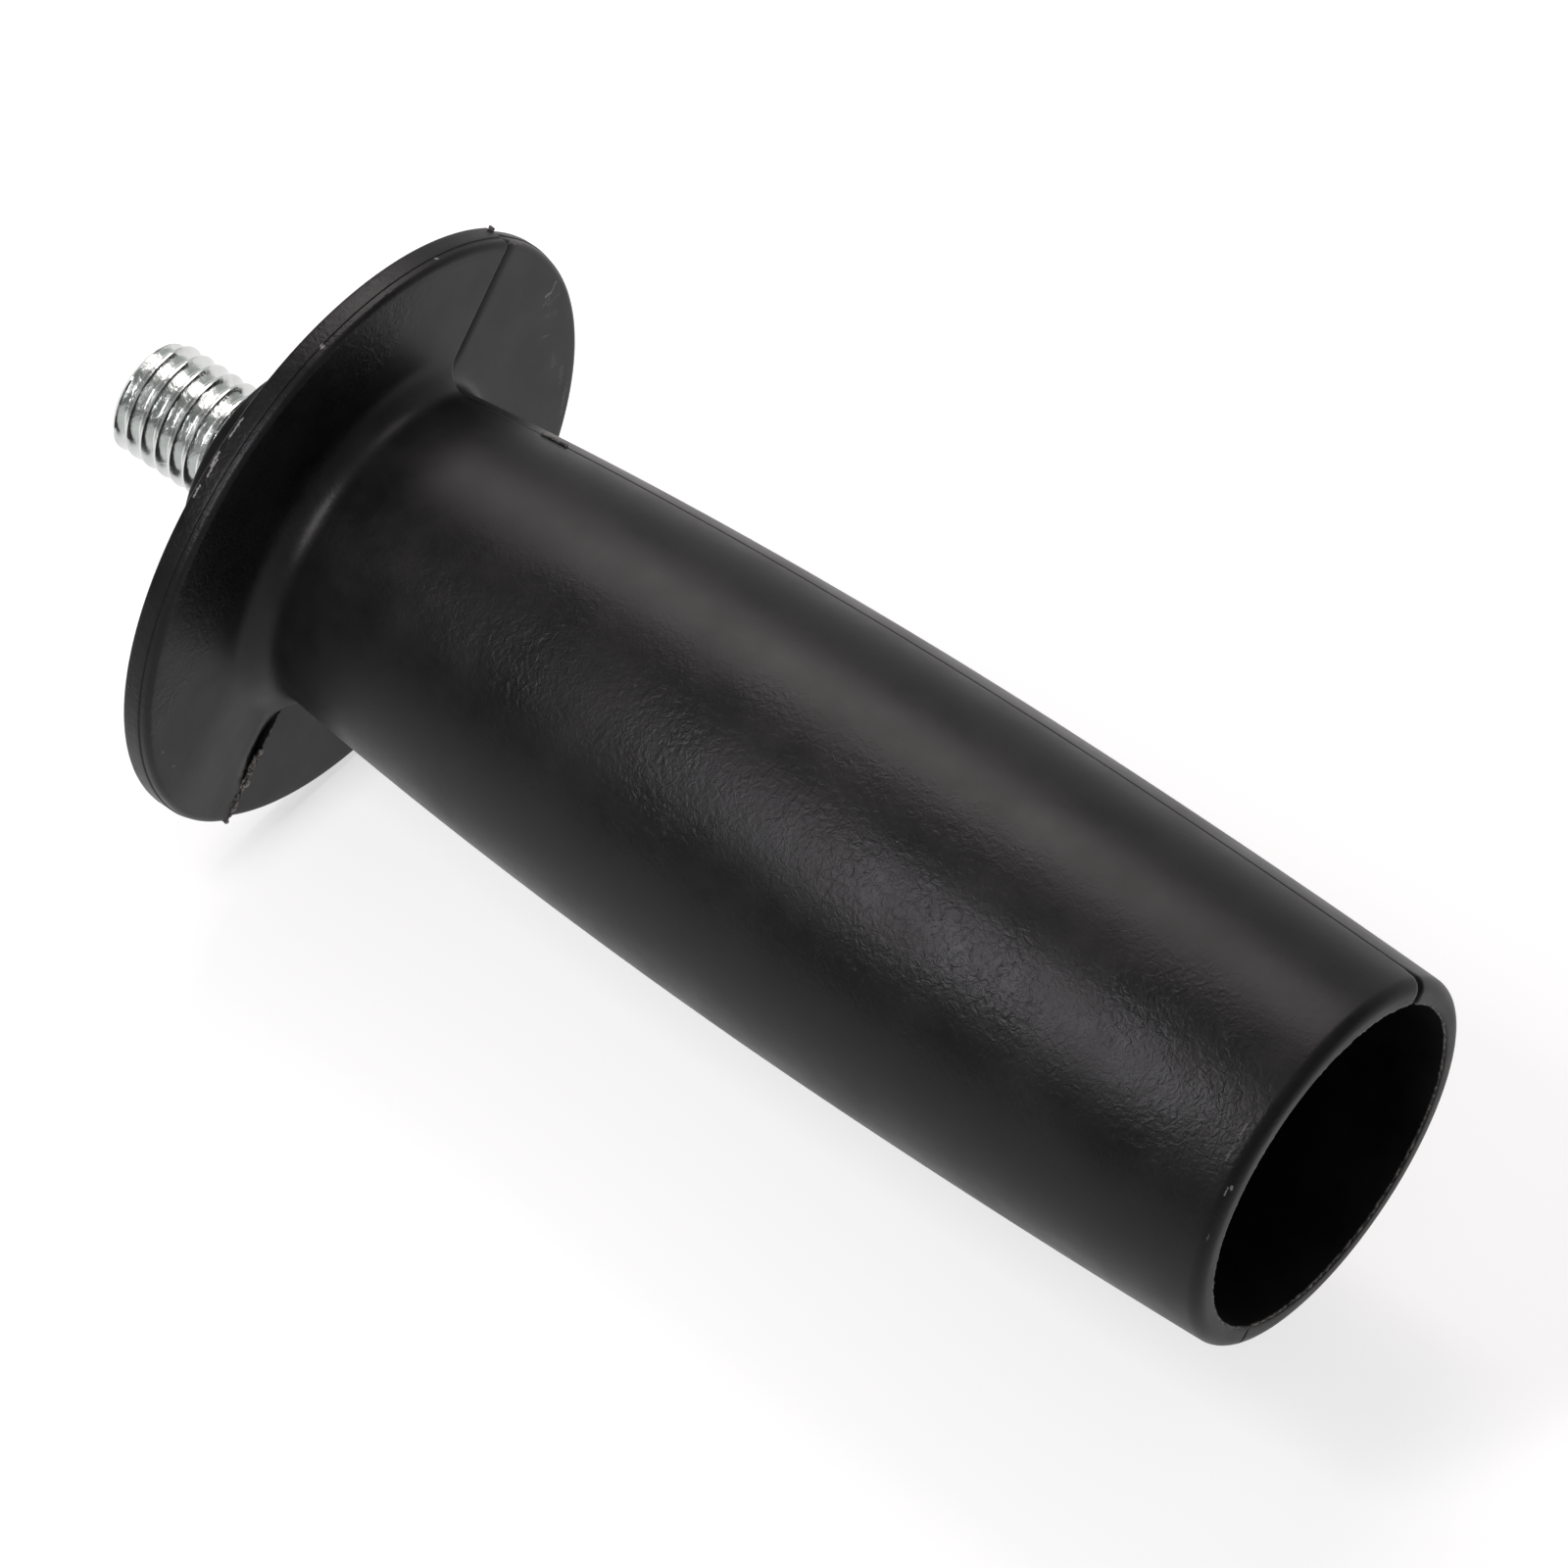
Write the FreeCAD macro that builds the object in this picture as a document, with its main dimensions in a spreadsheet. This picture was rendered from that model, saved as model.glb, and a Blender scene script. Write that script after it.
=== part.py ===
import FreeCAD, Part
import Sketcher

import math
import os

# Side handle of an angle grinder, in millimetres.
# The X axis runs along the handle. The origin is the centre of the boss's end face, which seats on the
# grinder's gear housing: the stud runs from there towards -X and the grip towards +X, with +Z up.

X_AXIS = FreeCAD.Vector(1, 0, 0)
OUT_OF_SKETCH = FreeCAD.Vector(0, 0, 1)

# Every size that can be set by itself, with its value and what it is
DRIVING_SIZES = [
    ("stud_diameter", 10.0, "M10 stud, over the thread's crests"),
    ("stud_reach", 11.3, "stud's length beyond the boss"),
    ("stud_tip_chamfer", 0.7, "chamfer at the stud's tip"),
    ("shoulder_diameter", 10.6, "plain shoulder of the stud, inside the web"),
    ("head_flats", 16.0, "hexagon head across flats"),
    ("head_height", 6.4, "thickness of the hexagon head"),
    ("head_chamfer", 0.6, "depth of the turned chamfer on the head's corners"),
    ("shoulder_clearance", 0.1, "gap around the shoulder in the web"),
    ("head_clearance", 0.1, "gap from each flat of the head to its seat"),
    ("head_sink", 0.9, "how far the head lies below the bore's floor"),
    ("web_length", 18.7, "from the boss's end to the head's seat"),
    ("boss_radius", 9.05, "boss behind the flange"),
    ("boss_edge", 0.4, "chamfer at the boss's end"),
    ("boss_root", 0.8, "bevel between boss and flange"),
    ("boss_length", 9.5, "from the boss's end to the flange's back"),
    ("flange_radius", 26.7, "hand guard flange"),
    ("flange_thickness", 2.5, "thickness of the flange"),
    ("flange_back_edge", 0.25, "chamfer at the flange's back edge"),
    ("flange_front_edge", 0.7, "rounding at the flange's front edge"),
    ("face_step", 0.75, "how far the flange's face drops at the parting line"),
    ("rim_step", 0.3, "how far the flange's rim drops at the parting line"),
    ("neck_fillet", 2.4, "concave fillet between flange and grip"),
    ("belly_radius", 17.05, "grip's largest radius"),
    ("belly_station", 59.1, "from the flange's face to the grip's largest radius"),
    ("neck_fall", 3.3, "from the belly down to the grip's radius where it would meet the flange"),
    ("waist_fall", 1.39, "from the belly down to the end of the neck's tighter curve"),
    ("waist_station", 20.0, "from the flange's face to the end of the neck's tighter curve"),
    ("mouth_fall", 0.75, "from the belly down to the mouth, before rounding"),
    ("grip_length", 95.9, "from the flange's face to the mouth"),
    ("mouth_edge", 1.6, "rounding of the mouth's outer edge"),
    ("mouth_wall", 2.0, "thickness of the wall at the mouth"),
    ("bore_rise", 2.0, "how much wider the bore is at its mouth than at its floor"),
    ("bore_floor_edge", 1.5, "bevel between the bore's wall and floor"),
    ("split_angle", 41.5, "parting plane's lean from upright, in degrees"),
]

# Sizes that follow from the driving ones
DERIVED_SIZES = [
    ("flange_face", "boss_length + flange_thickness"),
    ("mouth_station", "flange_face + grip_length"),
    ("belly_place", "flange_face + belly_station"),
    ("waist_place", "flange_face + waist_station"),
    ("waist_radius", "belly_radius - waist_fall"),
    ("belly_run", "belly_station - waist_station"),
    ("belly_arc", "(belly_run ^ 2 + waist_fall ^ 2) / (2 * waist_fall)"),
    ("neck_rise", "neck_fall - waist_fall"),
    ("neck_lean", "(belly_arc - waist_fall) * neck_rise - belly_run * waist_station"),
    ("neck_arc", "belly_arc * (waist_station ^ 2 + neck_rise ^ 2) / (2 * neck_lean)"),
    ("mouth_reach", "grip_length - belly_station"),
    ("mouth_arc", "(mouth_reach ^ 2 + mouth_fall ^ 2) / (2 * mouth_fall)"),
    ("far_face", "flange_face - face_step"),
    ("far_rim", "flange_radius - rim_step"),
    ("bore_floor", "web_length + head_height + head_sink"),
    ("bore_mouth_radius", "belly_radius - mouth_fall - mouth_wall"),
    ("bore_floor_radius", "bore_mouth_radius - bore_rise"),
    ("bore_length", "mouth_station - bore_floor"),
    ("seat_flats", "head_flats + 2 * head_clearance"),
    ("stud_radius", "stud_diameter / 2"),
    ("shoulder_radius", "shoulder_diameter / 2"),
    ("stud_hole_radius", "shoulder_radius + shoulder_clearance"),
    ("head_corner_radius", "head_flats / sqrt(3)"),
    ("seat_corner_radius", "seat_flats / sqrt(3)"),
    ("head_face_radius", "head_flats / 2 - head_chamfer / 2"),
]


def write_sizes(document):
    """Put every size in the spreadsheet under its own name."""
    sheet = document.addObject("Spreadsheet::Sheet", "Sizes")
    row = 1
    for alias, value, note in DRIVING_SIZES:
        sheet.set("A%d" % row, alias)
        sheet.set("B%d" % row, str(value))
        sheet.set("C%d" % row, note)
        sheet.setAlias("B%d" % row, alias)
        row += 1
    for alias, formula in DERIVED_SIZES:
        sheet.set("A%d" % row, alias)
        sheet.set("B%d" % row, "=" + formula)
        sheet.setAlias("B%d" % row, alias)
        row += 1
    document.recompute()
    return sheet


def origin_plane(body, role):
    """The body's own origin plane with this role."""
    for feature in body.Origin.OriginFeatures:
        if feature.Role == role:
            return feature
    raise ValueError("no origin plane " + role)


def new_sketch(body, name, role, offset=None):
    """A sketch on one of the body's planes, moved out along its normal by a size of the sheet."""
    sketch = body.newObject("Sketcher::SketchObject", name)
    sketch.AttachmentSupport = (origin_plane(body, role), [""])
    sketch.MapMode = "FlatFace"
    if offset:
        sketch.setExpression("AttachmentOffset.Base.z", offset)
    return sketch


class Outline:
    """A closed outline of lines and tangent arcs, tied to the spreadsheet as it is drawn."""

    def __init__(self, sketch):
        self.sketch = sketch

    def line(self, start, end, lies=None):
        first = FreeCAD.Vector(start[0], start[1], 0)
        last = FreeCAD.Vector(end[0], end[1], 0)
        piece = self.sketch.addGeometry(Part.LineSegment(first, last))
        if lies:
            self.sketch.addConstraint(Sketcher.Constraint(lies, piece))
        return piece

    def arc(self, centre, start, end):
        """The arc under half a turn from start to end, with its ends in drawing order."""
        middle = FreeCAD.Vector(centre[0], centre[1], 0)
        first = FreeCAD.Vector(start[0], start[1], 0) - middle
        last = FreeCAD.Vector(end[0], end[1], 0) - middle
        circle = Part.Circle(middle, OUT_OF_SKETCH, first.Length)
        angle_first = math.atan2(first.y, first.x)
        angle_last = math.atan2(last.y, last.x)
        turns_left = first.cross(last).z > 0
        if turns_left:
            return self.sketch.addGeometry(Part.ArcOfCircle(circle, angle_first, angle_last)), 1, 2
        return self.sketch.addGeometry(Part.ArcOfCircle(circle, angle_last, angle_first)), 2, 1

    def join(self, kind, first, first_end, second, second_end):
        self.sketch.addConstraint(Sketcher.Constraint(kind, first, first_end, second, second_end))

    def place(self, name, direction, piece, end, value, expression):
        """Tie a point's distance from the origin to the sheet."""
        self.bind(name, Sketcher.Constraint(direction, -1, 1, piece, end, value), expression)

    def chain(self, pieces):
        """Join the pieces end to end, smoothly wherever an arc meets its neighbour."""
        for before, after in zip(pieces[:-1], pieces[1:]):
            smooth = isinstance(before, tuple) or isinstance(after, tuple)
            first = before if isinstance(before, tuple) else (before, 1, 2)
            second = after if isinstance(after, tuple) else (after, 1, 2)
            self.join("Tangent" if smooth else "Coincident", first[0], first[2], second[0], second[1])

    def bevel(self, name, piece, start, end, size):
        """Tie a bevel's run and rise to one size of the sheet."""
        run = (piece, 1, piece, 2) if end[0] > start[0] else (piece, 2, piece, 1)
        rise = (piece, 1, piece, 2) if end[1] > start[1] else (piece, 2, piece, 1)
        self.bind(name + "_run", Sketcher.Constraint("DistanceX", *run, abs(end[0] - start[0])), size)
        self.bind(name + "_rise", Sketcher.Constraint("DistanceY", *rise, abs(end[1] - start[1])), size)

    def bind(self, name, constraint, expression):
        """Add a dimension and tie it to the sheet."""
        place = self.sketch.addConstraint(constraint)
        self.sketch.renameConstraint(place, name)
        self.sketch.setExpression("Constraints." + name, expression)


def touch_point(centre, radius, other):
    """The point of a circle that lies towards another point."""
    reach_x = other[0] - centre[0]
    reach_y = other[1] - centre[1]
    scale = radius / math.hypot(reach_x, reach_y)
    return (centre[0] + reach_x * scale, centre[1] + reach_y * scale)


def draw_half(body, name, sizes, face, rim):
    """One mould half's outline, from the boss's end to the mouth. Its face and rim are sizes of the sheet."""
    sketch = new_sketch(body, name, "XZ_Plane")
    outline = Outline(sketch)
    face_x = getattr(sizes, face)
    rim_y = getattr(sizes, rim)
    boss = sizes.boss_radius
    boss_edge = sizes.boss_edge
    root = sizes.boss_root
    back_x = sizes.boss_length
    back_edge = sizes.flange_back_edge
    front_edge = sizes.flange_front_edge
    fillet = sizes.neck_fillet
    mouth_x = sizes.mouth_station
    mouth_edge = sizes.mouth_edge
    belly = (sizes.belly_place, sizes.belly_radius)
    waist = (sizes.waist_place, sizes.waist_radius)
    belly_centre = (belly[0], belly[1] - sizes.belly_arc)
    neck_centre = touch_point(waist, sizes.neck_arc, belly_centre)
    mouth_centre = (belly[0], belly[1] - sizes.mouth_arc)

    # The fillet's centre is its own radius from the face and from the neck's arc
    fillet_run = neck_centre[0] - face_x - fillet
    fillet_rise = math.sqrt((sizes.neck_arc + fillet) ** 2 - fillet_run ** 2)
    fillet_centre = (face_x + fillet, neck_centre[1] + fillet_rise)
    fillet_start = (face_x, fillet_centre[1])
    fillet_end = touch_point(fillet_centre, fillet, neck_centre)

    # The mouth's rounding lies inside the grip's second arc
    edge_run = mouth_x - mouth_edge - mouth_centre[0]
    edge_rise = math.sqrt((sizes.mouth_arc - mouth_edge) ** 2 - edge_run ** 2)
    edge_centre = (mouth_x - mouth_edge, mouth_centre[1] + edge_rise)
    edge_start = touch_point(mouth_centre, sizes.mouth_arc, edge_centre)
    edge_end = (mouth_x, edge_centre[1])

    axis = outline.line((mouth_x, 0), (0, 0), "Horizontal")
    boss_ends = ((0, boss - boss_edge), (boss_edge, boss))
    root_ends = ((back_x - root, boss), (back_x, boss + root))
    back_ends = ((back_x, rim_y - back_edge), (back_x + back_edge, rim_y))
    seat = outline.line((0, 0), boss_ends[0], "Vertical")
    boss_bevel = outline.line(*boss_ends)
    wall = outline.line(boss_ends[1], root_ends[0], "Horizontal")
    root_bevel = outline.line(*root_ends)
    back = outline.line(root_ends[1], back_ends[0], "Vertical")
    back_bevel = outline.line(*back_ends)
    rim_line = outline.line(back_ends[1], (face_x - front_edge, rim_y), "Horizontal")
    front_centre = (face_x - front_edge, rim_y - front_edge)
    front_arc = outline.arc(front_centre, (front_centre[0], rim_y), (face_x, front_centre[1]))
    front = outline.line((face_x, front_centre[1]), fillet_start, "Vertical")
    fillet_arc = outline.arc(fillet_centre, fillet_start, fillet_end)
    neck = outline.arc(neck_centre, fillet_end, waist)
    palm = outline.arc(belly_centre, waist, belly)
    fingers = outline.arc(mouth_centre, belly, edge_start)
    edge_arc = outline.arc(edge_centre, edge_start, edge_end)
    mouth = outline.line(edge_end, (mouth_x, 0), "Vertical")

    outline.chain([axis, seat, boss_bevel, wall, root_bevel, back, back_bevel, rim_line, front_arc, front,
                   fillet_arc, neck, palm, fingers, edge_arc, mouth, axis])
    outline.join("Coincident", axis, 2, -1, 1)

    outline.place("length", "DistanceX", axis, 1, mouth_x, "Sizes.mouth_station")
    outline.place("boss_wall", "DistanceY", wall, 1, boss, "Sizes.boss_radius")
    outline.place("back_place", "DistanceX", back, 1, back_x, "Sizes.boss_length")
    outline.place("rim_height", "DistanceY", rim_line, 1, rim_y, "Sizes." + rim)
    outline.place("face_place", "DistanceX", front, 1, face_x, "Sizes." + face)
    outline.place("waist_x", "DistanceX", neck[0], neck[2], waist[0], "Sizes.waist_place")
    outline.place("belly_x", "DistanceX", palm[0], palm[2], belly[0], "Sizes.belly_place")
    outline.place("belly_y", "DistanceY", palm[0], palm[2], belly[1], "Sizes.belly_radius")
    outline.place("belly_centre", "DistanceX", palm[0], 3, belly[0], "Sizes.belly_place")
    outline.bevel("boss_edge", boss_bevel, *boss_ends, "Sizes.boss_edge")
    outline.bevel("boss_root", root_bevel, *root_ends, "Sizes.boss_root")
    outline.bevel("back_edge", back_bevel, *back_ends, "Sizes.flange_back_edge")
    for arc, size in ((front_arc, "flange_front_edge"), (fillet_arc, "neck_fillet"), (neck, "neck_arc"),
                      (palm, "belly_arc"), (fingers, "mouth_arc"), (edge_arc, "mouth_edge")):
        radius = Sketcher.Constraint("Radius", arc[0], getattr(sizes, size))
        outline.bind("radius_" + size, radius, "Sizes." + size)
    return sketch


def revolve(body, kind, name, sketch, angle, reversed_turn=False):
    """Turn a sketch about its own horizontal axis."""
    feature = body.newObject(kind, name)
    feature.Profile = sketch
    feature.ReferenceAxis = (sketch, ["H_Axis"])
    feature.Angle = angle
    feature.Reversed = reversed_turn
    sketch.Visibility = False
    body.Document.recompute()
    return feature


def draw_bore(body, sizes):
    """The core's outline: a bore that tapers from the mouth to a floor with a bevelled corner."""
    sketch = new_sketch(body, "BoreOutline", "XZ_Plane")
    outline = Outline(sketch)
    floor_x = sizes.bore_floor
    mouth_x = sizes.mouth_station
    edge = sizes.bore_floor_edge
    lean = math.atan2(sizes.bore_rise, sizes.bore_length)
    wall_end = (mouth_x, sizes.bore_mouth_radius)
    bevel_ends = ((floor_x, sizes.bore_floor_radius - edge),
                  (floor_x + edge, sizes.bore_floor_radius + edge * math.tan(lean)))
    axis = outline.line((mouth_x, 0), (floor_x, 0), "Horizontal")
    floor = outline.line((floor_x, 0), bevel_ends[0], "Vertical")
    bevel = outline.line(*bevel_ends)
    wall = outline.line(bevel_ends[1], wall_end)
    mouth = outline.line(wall_end, (mouth_x, 0), "Vertical")
    outline.chain([axis, floor, bevel, wall, mouth, axis])
    sketch.addConstraint(Sketcher.Constraint("PointOnObject", axis, 1, -1))
    outline.place("mouth_place", "DistanceX", axis, 1, mouth_x, "Sizes.mouth_station")
    outline.place("floor_place", "DistanceX", floor, 1, floor_x, "Sizes.bore_floor")
    outline.place("mouth_height", "DistanceY", wall, 2, wall_end[1], "Sizes.bore_mouth_radius")
    outline.place("bevel_place", "DistanceX", wall, 1, bevel_ends[1][0],
                  "Sizes.bore_floor + Sizes.bore_floor_edge")
    outline.place("floor_height", "DistanceY", floor, 2, bevel_ends[0][1],
                  "Sizes.bore_floor_radius - Sizes.bore_floor_edge")
    outline.bind("taper", Sketcher.Constraint("Angle", -1, 1, wall, 1, lean),
                 "atan(Sizes.bore_rise / Sizes.bore_length)")
    return sketch


def draw_circle(body, name, size, radius):
    """A circle about the handle's axis, on the plane of the boss's end."""
    sketch = new_sketch(body, name, "YZ_Plane")
    circle = sketch.addGeometry(Part.Circle(FreeCAD.Vector(0, 0, 0), OUT_OF_SKETCH, radius))
    outline = Outline(sketch)
    outline.join("Coincident", circle, 3, -1, 1)
    outline.bind("radius", Sketcher.Constraint("Radius", circle, radius), size)
    return sketch


def draw_hexagon(body, name, size, corner_radius, offset):
    """A hexagon about the handle's axis, with the parting plane through the middle of two flats."""
    sketch = new_sketch(body, name, "YZ_Plane", offset)
    corners = []
    for number in range(6):
        angle = math.radians(60 * number)
        corners.append((corner_radius * math.cos(angle), corner_radius * math.sin(angle)))
    outline = Outline(sketch)
    sides = [outline.line(corners[number - 1], corners[number]) for number in range(6)]
    circle = sketch.addGeometry(Part.Circle(FreeCAD.Vector(0, 0, 0), OUT_OF_SKETCH, corner_radius), True)
    outline.join("Coincident", circle, 3, -1, 1)
    for number in range(6):
        outline.join("Coincident", sides[number - 1], 2, sides[number], 1)
        sketch.addConstraint(Sketcher.Constraint("PointOnObject", sides[number], 1, circle))
    for number in range(1, 6):
        sketch.addConstraint(Sketcher.Constraint("Equal", sides[0], sides[number]))
    sketch.addConstraint(Sketcher.Constraint("PointOnObject", sides[0], 2, -1))
    outline.bind("corner", Sketcher.Constraint("Radius", circle, corner_radius), size)
    return sketch


def extrude(body, kind, name, sketch, length, reversed_way=False):
    """Pad or pocket a sketch by a size of the sheet."""
    feature = body.newObject(kind, name)
    feature.Profile = sketch
    feature.setExpression("Length", length)
    feature.Reversed = reversed_way
    sketch.Visibility = False
    body.Document.recompute()
    return feature


def must_shrink(before, body, name):
    """A cut that misses the solid raises no error of its own."""
    after = body.Shape.Volume
    if after >= before - 1e-6:
        raise RuntimeError(name + " cut nothing")
    return after


def lean_body(body):
    """Turn the body about the handle's axis so that its sketch plane is the parting plane."""
    body.Placement = FreeCAD.Placement(FreeCAD.Vector(0, 0, 0), FreeCAD.Rotation(X_AXIS, -1))
    body.setExpression("Placement.Rotation.Angle", "-Sizes.split_angle")


def build_grip(document, sizes):
    """The moulded grip: two half turns that meet at the parting plane, the cored bore and the stud's seat."""
    body = document.addObject("PartDesign::Body", "MouldedGrip")
    body.Label = "moulded_grip"
    near = draw_half(body, "NearHalfOutline", sizes, "flange_face", "flange_radius")
    revolve(body, "PartDesign::Revolution", "NearHalf", near, 180)
    far = draw_half(body, "FarHalfOutline", sizes, "far_face", "far_rim")
    revolve(body, "PartDesign::Revolution", "FarHalf", far, 180, True)
    volume = body.Shape.Volume
    revolve(body, "PartDesign::Groove", "Bore", draw_bore(body, sizes), 360)
    volume = must_shrink(volume, body, "Bore")
    hole = draw_circle(body, "StudHoleOutline", "Sizes.stud_hole_radius", sizes.stud_hole_radius)
    extrude(body, "PartDesign::Pocket", "StudHole", hole, "Sizes.bore_floor", True)
    volume = must_shrink(volume, body, "StudHole")
    seat = draw_hexagon(body, "HeadSeatOutline", "Sizes.seat_corner_radius", sizes.seat_corner_radius,
                        "Sizes.web_length")
    extrude(body, "PartDesign::Pocket", "HeadSeat", seat, "Sizes.head_height + Sizes.head_sink", True)
    must_shrink(volume, body, "HeadSeat")
    lean_body(body)
    return body


def draw_shank(body, sizes):
    """The stud's outline from its chamfered tip, past the shoulder flush with the boss, to its head."""
    sketch = new_sketch(body, "ShankOutline", "XZ_Plane")
    outline = Outline(sketch)
    tip_x = -sizes.stud_reach
    radius = sizes.stud_radius
    shoulder = sizes.shoulder_radius
    chamfer = sizes.stud_tip_chamfer
    seat_x = sizes.web_length
    corners = [(tip_x, 0), (tip_x, radius - chamfer), (tip_x + chamfer, radius), (0, radius),
               (0, shoulder), (seat_x, shoulder), (seat_x, 0)]
    lies = ["Vertical", None, "Horizontal", "Vertical", "Horizontal", "Vertical", "Horizontal"]
    sides = []
    for number, way in enumerate(lies):
        sides.append(outline.line(corners[number], corners[(number + 1) % len(corners)], way))
    outline.chain(sides + [sides[0]])
    tip, cone, wall, step, band, seat, axis = sides
    sketch.addConstraint(Sketcher.Constraint("PointOnObject", axis, 1, -1))
    sketch.addConstraint(Sketcher.Constraint("PointOnObject", step, 1, -2))
    outline.bind("reach", Sketcher.Constraint("DistanceX", tip, 1, -1, 1, -tip_x), "Sizes.stud_reach")
    outline.place("seat_place", "DistanceX", seat, 2, seat_x, "Sizes.web_length")
    outline.place("wall_height", "DistanceY", wall, 1, radius, "Sizes.stud_radius")
    outline.place("shoulder_height", "DistanceY", band, 1, shoulder, "Sizes.shoulder_radius")
    outline.bevel("chamfer", cone, corners[1], corners[2], "Sizes.stud_tip_chamfer")
    return sketch


def draw_head_chamfer(body, sizes):
    """A triangle outside the head's end, turned to take its corners off at 30 degrees."""
    sketch = new_sketch(body, "HeadChamferOutline", "XZ_Plane")
    outline = Outline(sketch)
    end_x = sizes.web_length + sizes.head_height
    face = sizes.head_face_radius
    rise = sizes.head_corner_radius + sizes.head_chamfer - face
    run = rise * math.tan(math.radians(30))
    corners = [(end_x, face), (end_x, face + rise), (end_x - run, face + rise)]
    end_line = outline.line(corners[0], corners[1], "Vertical")
    top = outline.line(corners[1], corners[2], "Horizontal")
    cone = outline.line(corners[2], corners[0])
    outline.chain([end_line, top, cone, end_line])
    outline.place("end_place", "DistanceX", end_line, 1, end_x, "Sizes.web_length + Sizes.head_height")
    outline.place("face_height", "DistanceY", end_line, 1, face, "Sizes.head_face_radius")
    outline.place("top_height", "DistanceY", end_line, 2, face + rise,
                  "Sizes.head_corner_radius + Sizes.head_chamfer")
    outline.bind("cone_run", Sketcher.Constraint("DistanceX", top, 2, top, 1, run),
                 "(Sizes.head_corner_radius + Sizes.head_chamfer - Sizes.head_face_radius) * tan(30 deg)")
    return sketch


def build_stud(document, sizes):
    """The stud with its shoulder and hexagon head. Its fine thread isn't cut."""
    body = document.addObject("PartDesign::Body", "ThreadedStud")
    body.Label = "threaded_stud"
    revolve(body, "PartDesign::Revolution", "Shank", draw_shank(body, sizes), 360)
    head = draw_hexagon(body, "HeadOutline", "Sizes.head_corner_radius", sizes.head_corner_radius,
                        "Sizes.web_length")
    extrude(body, "PartDesign::Pad", "Head", head, "Sizes.head_height")
    volume = body.Shape.Volume
    revolve(body, "PartDesign::Groove", "HeadChamfer", draw_head_chamfer(body, sizes), 360)
    must_shrink(volume, body, "HeadChamfer")
    lean_body(body)
    return body


def check_and_write(document, bodies):
    """Stop on any failed object or bad solid, and only then write the files."""
    document.recompute()
    for item in document.Objects:
        if "Invalid" in item.State or "Error" in item.State:
            raise RuntimeError("failed object: " + item.Name)
    for body in bodies:
        shape = body.Shape
        if shape.isNull() or not shape.isValid() or len(shape.Solids) != 1:
            raise RuntimeError("bad solid: " + body.Label)
    os.makedirs("parts", exist_ok=True)
    for body in bodies:
        body.Shape.exportStep(os.path.join("parts", body.Label + ".step"))
        box = body.Shape.BoundBox
        print("%s: volume %.1f mm3, x %.2f to %.2f, y %.2f to %.2f, z %.2f to %.2f" % (
            body.Label, body.Shape.Volume, box.XMin, box.XMax, box.YMin, box.YMax, box.ZMin, box.ZMax))


def main():
    document = FreeCAD.newDocument("side_handle")
    sizes = write_sizes(document)
    grip = build_grip(document, sizes)
    stud = build_stud(document, sizes)
    check_and_write(document, [grip, stud])


main()
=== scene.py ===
import math

import bmesh
import bpy
from mathutils import Matrix, Vector


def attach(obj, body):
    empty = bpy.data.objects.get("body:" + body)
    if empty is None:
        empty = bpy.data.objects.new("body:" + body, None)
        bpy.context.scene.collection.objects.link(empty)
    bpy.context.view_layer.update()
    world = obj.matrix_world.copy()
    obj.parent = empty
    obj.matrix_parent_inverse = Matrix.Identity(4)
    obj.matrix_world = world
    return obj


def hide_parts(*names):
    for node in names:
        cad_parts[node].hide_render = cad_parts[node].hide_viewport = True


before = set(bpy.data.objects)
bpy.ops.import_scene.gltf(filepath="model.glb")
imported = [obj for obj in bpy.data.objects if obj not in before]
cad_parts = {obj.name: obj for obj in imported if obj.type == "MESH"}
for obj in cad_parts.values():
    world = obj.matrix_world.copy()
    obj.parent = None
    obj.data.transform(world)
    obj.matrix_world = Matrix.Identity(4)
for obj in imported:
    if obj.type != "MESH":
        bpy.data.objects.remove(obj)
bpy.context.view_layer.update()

# Side handle of an angle grinder. Sizes are in millimetres and angles in degrees, as in the part's source:
# X runs along the handle from the boss's end, and angles about it are measured from +Z towards +Y.
# The mesh code works in millimetres, and each finished mesh is scaled to metres once.

MM = 0.001

# Points of a finished mesh nearer than this are joined, and shorter edges are dissolved
JOIN_DISTANCE = 0.0008
SHORTEST_EDGE = 0.0005

# Stud. The head's underside is a very flat cone, and a ring inside its face keeps the face's shading flat
STUD_REACH = 11.3
CREST_RADIUS = 4.97
ROOT_RADIUS = 4.14
TIP_RADIUS = 4.45
THREAD_PITCH = 1.5
SHOULDER_RADIUS = 5.3
WEB_LENGTH = 18.7
HEAD_FLATS = 16.0
HEAD_HEIGHT = 6.4
HEAD_CONE = 0.02
HEAD_CHAMFER_ANGLE = 30.0
HEAD_FACE_RADIUS = 7.7
HEAD_FACE_RING = 0.15
HEAD_COLUMNS = 96

# Thread's grid, with spare rows that close its ends. Its rolled flanks blend a curved rise with a straight
# one, each between two distances from the root's middle in pitches
ROWS_A_PITCH = 16
SPARE_ROWS = 4
BETWEEN_ENDS = 0.499
THREAD_COLUMNS = 160
CURVED_FLANK = (0.02, 0.45)
STRAIGHT_FLANK = (0.05, 0.44)
STRAIGHT_SHARE = 0.6

# Boss and flange. The far mould half's face and rim lie back from the near half's by a step each
STUD_HOLE_RADIUS = 5.4
BOSS_RADIUS = 9.05
BOSS_EDGE = 0.4
BOSS_ROOT = 0.8
BOSS_LENGTH = 9.5
FLANGE_RADIUS = 26.69
FLANGE_FACE = 12.0
FLANGE_BACK_EDGE = 0.25
FLANGE_FRONT_EDGE = 0.6
FACE_STEP = 0.75
RIM_STEP = 0.31

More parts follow.
